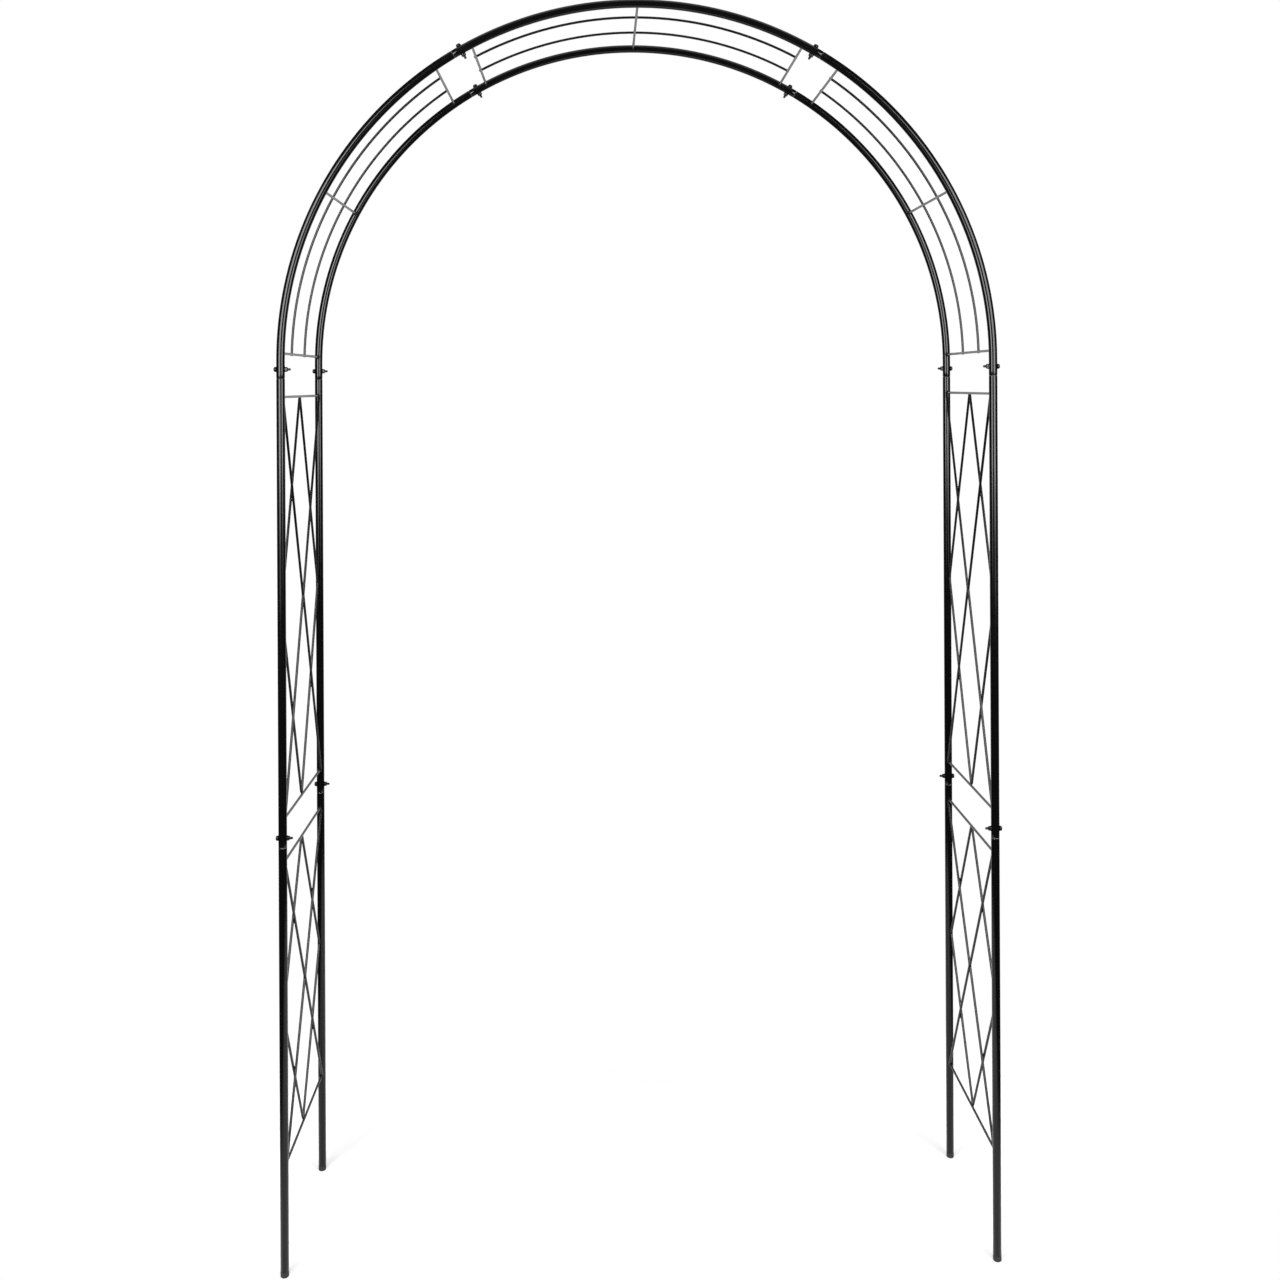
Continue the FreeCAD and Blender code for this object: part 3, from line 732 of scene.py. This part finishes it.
# Joint bolts: 5 mm pan head screws with a cross recess, one across each plug joint, with the thread's tail
# past the nut. Steel, blackened, and rubbed bright on the recess's rim and along the thread's crests.
BOLT_SIDES = 32
SHANK_RADIUS = 0.0025
CORE_RADIUS = 0.00205
HEAD_RADIUS = 0.00475
HEAD_HEIGHT = 0.0037
HEAD_ROUNDING = 0.0026
SEAT_GAP = 0.00005
WASHER_THICKNESS = 0.001
NUT_HEIGHT = 0.004
BOLT_TAIL = 0.0059
TIP_CHAMFER = 0.0006
JOIN_OVERLAP = 0.0005
THREAD_PITCH = 0.0008
THREAD_PROFILE = [
    # distance from the axis, height as a share of the pitch
    (CORE_RADIUS - 0.0001, -0.44),
    (SHANK_RADIUS - 0.00002, -0.08),
    (SHANK_RADIUS - 0.00002, 0.08),
    (CORE_RADIUS - 0.0001, 0.44),
]
RECESS_SPAN = 0.0048
RECESS_WIDTH = 0.0010
RECESS_DEPTH = 0.0022
RECESS_TAPER = 0.45
CUT_SPARE = 0.0002
BOLT_SMOOTH_ANGLE = math.radians(30)
BLACKENED = (0.0030, 0.0030, 0.0032, 1)
STEEL_SPECULAR = 0.25
GRIT_GRAIN = 0.0006
GRIT_DEPTH = 0.000006
# where the blacking is rubbed off: first and full wear, as distances from the axis
NUT_CORNER_WEAR = (0.0043, 0.0046)
CREST_WEAR = (0.00235, 0.00248)
CREST_WEAR_END = (0.0027, 0.0026)
RIM_WEAR = (0.0026, 0.0019)

under_head = tube_radius + SEAT_GAP + WASHER_THICKNESS
head_top = under_head + HEAD_HEIGHT
bolt_tip = -(under_head + NUT_HEIGHT + BOLT_TAIL)
thread_start = -under_head

fastener_steel = bpy.data.materials.new("blackened_steel")
recipe = Recipe(fastener_steel)
own_place = recipe.node("ShaderNodeAttribute", {"attribute_name": "own_place"}, {}, "Vector")
own_x, own_y, own_z = recipe.axes(own_place)
flat_place = recipe.node("ShaderNodeCombineXYZ", {}, {"X": own_x, "Y": own_y})
out = recipe.node("ShaderNodeVectorMath", {"operation": "LENGTH"}, {0: flat_place}, "Value")
grit = recipe.noise(recipe.place(), GRIT_GRAIN, detail=3, roughness=0.65)
corners = recipe.ramp(out, *NUT_CORNER_WEAR)
tail = recipe.ramp(own_z, -under_head, -under_head - 0.0005)
crests = recipe.ramp(out, *CREST_WEAR) * recipe.ramp(out, *CREST_WEAR_END)
rim = recipe.ramp(out, *RIM_WEAR) * recipe.ramp(own_z, head_top - 0.0004, head_top - 0.0001)
rubbed = ((corners * 0.5 + crests * 0.25) * tail + rim * 0.5) * recipe.ramp(grit, 0.35, 0.6)
recipe.finish({
    "Base Color": recipe.tint(rubbed, BLACKENED, BARE_STEEL),
    "Metallic": rubbed,
    "Roughness": recipe.ramp(grit, 0.3, 0.7, 0.30, 0.42),
    "Specular IOR Level": STEEL_SPECULAR,
    "Normal": recipe.bump(grit, GRIT_DEPTH),
})


def remember_place(master):
    """Keep each corner's place on the drawn piece, so that wear follows the piece when it is turned."""
    places = master.data.attributes.new("own_place", "FLOAT_VECTOR", "POINT")
    for corner in master.data.vertices:
        places.data[corner.index].vector = corner.co


def select_where(test):
    """Select the edges whose two corners both pass a test, and nothing else."""
    bpy.ops.mesh.select_mode(type="EDGE")
    bpy.ops.mesh.select_all(action="DESELECT")
    mesh = bmesh.from_edit_mesh(bpy.context.object.data)
    for edge in mesh.edges:
        edge.select_set(all(test(corner.co) for corner in edge.verts))
    mesh.select_flush_mode()
    bmesh.update_edit_mesh(bpy.context.object.data)


def cylinder(radius, bottom, top):
    """A closed cylinder about Z in the mesh that is open."""
    bpy.ops.mesh.select_all(action="DESELECT")
    bpy.ops.mesh.primitive_cylinder_add(
        vertices=BOLT_SIDES, radius=radius, depth=top - bottom, location=(0, 0, (top + bottom) / 2))


def draw_bolt():
    """A bolt about Z with its head up, and zero at the middle of the tube it crosses."""
    bolt = begin("bolt")
    cylinder(HEAD_RADIUS, under_head, head_top)
    select_where(lambda corner: corner.z > head_top - TOLERANCE)
    bpy.ops.mesh.bevel(offset=HEAD_ROUNDING, segments=8, affect="EDGES")
    close(bolt)

    shank = begin("shank")
    cylinder(SHANK_RADIUS, thread_start, under_head + JOIN_OVERLAP)
    close(shank)
    core = begin("core")
    cylinder(CORE_RADIUS, bolt_tip, thread_start + JOIN_OVERLAP)
    select_where(lambda corner: corner.z < bolt_tip + TOLERANCE)
    bpy.ops.mesh.bevel(offset=TIP_CHAMFER, segments=1, affect="EDGES")
    close(core)

    ridge = begin("ridge")
    turns = int((thread_start - bolt_tip - TIP_CHAMFER) / THREAD_PITCH)
    bottom = bolt_tip + TIP_CHAMFER + THREAD_PITCH / 2
    bpy.ops.mesh.primitive_circle_add(vertices=4, radius=1)
    mesh = bmesh.from_edit_mesh(ridge.data)
    for corner, (radius, share) in zip(mesh.verts, THREAD_PROFILE):
        corner.co = (radius, 0, bottom + share * THREAD_PITCH)
    bmesh.update_edit_mesh(ridge.data)
    bpy.ops.object.mode_set(mode="OBJECT")
    modify(ridge, "SCREW", {"angle": math.radians(360), "screw_offset": THREAD_PITCH, "iterations": turns,
                            "steps": 20, "render_steps": 20, "use_merge_vertices": True})
    bpy.ops.object.mode_set(mode="EDIT")
    bpy.ops.mesh.select_mode(type="VERT")
    bpy.ops.mesh.select_all(action="DESELECT")
    bpy.ops.mesh.select_non_manifold()
    bpy.ops.mesh.fill()
    close(ridge)

    recess = begin("recess")
    for turn in (0, 90):
        bpy.ops.mesh.select_all(action="DESELECT")
        bpy.ops.mesh.primitive_cube_add(
            size=1, location=(0, 0, head_top + (CUT_SPARE - RECESS_DEPTH) / 2),
            rotation=(0, 0, math.radians(turn)), scale=(RECESS_SPAN, RECESS_WIDTH, RECESS_DEPTH + CUT_SPARE))
        mesh = bmesh.from_edit_mesh(recess.data)
        for face in mesh.faces:
            face.select_set(face.select and face.normal.z < -0.9)
        bmesh.update_edit_mesh(recess.data)
        bpy.ops.transform.resize(value=(RECESS_TAPER, RECESS_TAPER, 1), center_override=(0, 0, 0))
    close(recess)
    carve(core, ridge, "UNION")
    carve(core, shank, "UNION")
    carve(bolt, recess)
    carve(bolt, core, "UNION")
    shade(bolt, BOLT_SMOOTH_ANGLE)
    discard(shank, core, ridge, recess)
    remember_place(bolt)
    return bolt


def joint_placements():
    """Every joint of the arch: its name, and what carries a piece drawn about Z to it."""
    names = ("mid", "spring", "crown")
    for joint, run in zip(names, bolt_runs):
        outwards = Matrix.Rotation(math.radians(90) - hoop_turn(run), 4, "Y")
        for side in ("left", "right"):
            for depth in ("front", "rear"):
                place = placement(side, depth) @ Matrix.Translation(hoop_point(run)) @ outwards
                yield f"{joint}_{side}_{depth}", place


bolt = draw_bolt()
for number, (joint, place) in enumerate(joint_placements()):
    driven = Matrix.Rotation(math.radians(37 * number % 90), 4, "Z")
    fit(bolt, joint + "_bolt", place @ driven, fastener_steel, "fastener_steel", "joint_bolts")
discard(bolt)


# Washers and nuts: a flat washer under each bolt head, another under each nut, and a plain hexagon nut with
# chamfered corners and a countersunk bore. Steel, blackened like the bolts.
WASHER_RADIUS = 0.005
WASHER_HOLE_RADIUS = 0.00265
WASHER_SIDES = 40
WASHER_ROUNDING = 0.0002
NUT_ACROSS_FLATS = 0.008
NUT_BORE_RADIUS = 0.0026
NUT_MOUTH_RADIUS = 0.0030
NUT_FACE_RADIUS = 0.0038
NUT_CHAMFER = math.radians(30)
NUT_BLANK_SPARE = 1.05
NUT_SMOOTH_ANGLE = math.radians(20)


def draw_washer(bottom):
    """A washer about Z, with its lower face at a height."""
    washer = begin("washer")
    draw_ring((0, 0, bottom), WASHER_RADIUS, WASHER_SIDES)
    bpy.ops.mesh.extrude_region_move()
    swell(WASHER_HOLE_RADIUS / WASHER_RADIUS, (0, 0, bottom))
    close(washer)
    modify(washer, "SOLIDIFY", {"thickness": WASHER_THICKNESS, "offset": 0})
    washer.data.transform(Matrix.Translation((0, 0, WASHER_THICKNESS / 2)))
    soften(washer, WASHER_ROUNDING, steps=3)
    shade(washer)
    remember_place(washer)
    return washer


def draw_nut():
    """A nut about Z, on the far side of the tube from the bolt's head."""
    top = -under_head
    bottom = top - NUT_HEIGHT
    nut = begin("nut")
    corner_radius = NUT_ACROSS_FLATS / math.sqrt(3)
    draw_ring((0, 0, bottom), corner_radius, 6, rotation=(0, 0, math.radians(90)), fill="NGON")
    pull((0, 0, NUT_HEIGHT))
    close(nut)

    turned = begin("turned_blank")
    outside = corner_radius * NUT_BLANK_SPARE
    slope = (outside - NUT_FACE_RADIUS) * math.tan(NUT_CHAMFER)
    draw_ring((0, 0, bottom), NUT_FACE_RADIUS, 48, fill="NGON")
    pull((0, 0, slope))
    swell(outside / NUT_FACE_RADIUS, (0, 0, bottom + slope))
    pull((0, 0, NUT_HEIGHT - 2 * slope))
    pull((0, 0, slope))
    swell(NUT_FACE_RADIUS / outside, (0, 0, top))
    close(turned)
    carve(nut, turned, "INTERSECT")

    tap = begin("tap")
    mouth = NUT_MOUTH_RADIUS - NUT_BORE_RADIUS
    wide = NUT_MOUTH_RADIUS + CUT_SPARE
    at, radius = bottom - CUT_SPARE, wide
    draw_ring((0, 0, at), radius, 32, fill="NGON")
    for next_at, next_radius in (
            (bottom + mouth, NUT_BORE_RADIUS),
            (top - mouth, NUT_BORE_RADIUS),
            (top + CUT_SPARE, wide)):
        pull((0, 0, next_at - at))
        swell(next_radius / radius, (0, 0, next_at))
        at, radius = next_at, next_radius
    close(tap)
    carve(nut, tap)
    shade(nut, NUT_SMOOTH_ANGLE)
    discard(turned, tap)
    remember_place(nut)
    return nut


outer_washer = draw_washer(tube_radius + SEAT_GAP)
inner_washer = draw_washer(-(tube_radius + SEAT_GAP + WASHER_THICKNESS))
nut = draw_nut()
for joint, place in joint_placements():
    fit(outer_washer, joint + "_outer_washer", place, fastener_steel, "fastener_steel", "joint_washers")
    fit(inner_washer, joint + "_inner_washer", place, fastener_steel, "fastener_steel", "joint_washers")
    fit(nut, joint + "_nut", place, fastener_steel, "fastener_steel", "joint_nuts")
discard(outer_washer, inner_washer, nut)


# Foot plugs: moulded in black plastic and pushed into the feet. The head is as wide as the tube, with a
# rounded lower edge, a fine groove under the tube's end and a gate mark left by the mould underneath.
PLUG_SIDES = 48
PLUG_HEAD_HEIGHT = 0.011
PLUG_ROUNDING = 0.0025
PLUG_GROOVE_HEIGHT = 0.0008
PLUG_GROOVE_DEPTH = 0.0004
PLUG_STEM_LENGTH = 0.022
PLUG_STEM_RADIUS = 0.0071
GATE_MARK_RADIUS = 0.0013
GATE_MARK_DEPTH = 0.0003
PLUG_BLACK = (0.008, 0.008, 0.0085, 1)
PLUG_DUSTY = (0.050, 0.049, 0.047, 1)
MOULD_GRAIN = 0.0004
MOULD_DEPTH = 0.00001
ROUNDING_STEPS = 8

plug_plastic = bpy.data.materials.new("black_moulded_plastic")
recipe = Recipe(plug_plastic)
spot = recipe.place()
grain = recipe.noise(spot, MOULD_GRAIN, detail=2)
scuffs = recipe.ramp(recipe.noise(spot, 0.0018, detail=4, roughness=0.7), 0.55, 0.75)
low_edge = recipe.ramp(recipe.axes(spot)[2], 0.004, 0.0)
dust = scuffs * (low_edge * 0.6 + 0.15)
recipe.finish({
    "Base Color": recipe.tint(dust, PLUG_BLACK, PLUG_DUSTY),
    "Roughness": recipe.ramp(grain, 0.3, 0.7, 0.46, 0.58) + dust * 0.2,
    "Normal": recipe.bump(grain, MOULD_DEPTH),
})

plug = begin("plug")
groove_bottom = PLUG_HEAD_HEIGHT - PLUG_GROOVE_HEIGHT
draw_ring((0, 0, GATE_MARK_DEPTH), GATE_MARK_RADIUS, PLUG_SIDES, fill="NGON")
pull((0, 0, -GATE_MARK_DEPTH))
flat_radius = tube_radius - PLUG_ROUNDING
bpy.ops.mesh.extrude_region_move()
swell(flat_radius / GATE_MARK_RADIUS, (0, 0, 0))
at, radius = 0.0, flat_radius
for step in range(1, ROUNDING_STEPS + 1):
    angle = math.radians(90) * step / ROUNDING_STEPS
    next_at = PLUG_ROUNDING * (1 - math.cos(angle))
    next_radius = flat_radius + PLUG_ROUNDING * math.sin(angle)
    pull((0, 0, next_at - at))
    swell(next_radius / radius, (0, 0, next_at))
    at, radius = next_at, next_radius
pull((0, 0, groove_bottom - PLUG_ROUNDING))
pull((0, 0, PLUG_GROOVE_HEIGHT))
swell((tube_radius - PLUG_GROOVE_DEPTH) / tube_radius, (0, 0, PLUG_HEAD_HEIGHT))
bpy.ops.mesh.extrude_region_move()
swell(PLUG_STEM_RADIUS / (tube_radius - PLUG_GROOVE_DEPTH), (0, 0, PLUG_HEAD_HEIGHT))
pull((0, 0, PLUG_STEM_LENGTH))
close(plug)

for side in ("left", "right"):
    for depth in ("front", "rear"):
        stand = placement(side, depth) @ Matrix.Translation((arch_radius, 0, 0))
        fit(plug, f"{side}_{depth}_foot_plug", stand, plug_plastic, "plug_plastic", "foot_plugs")
discard(plug)
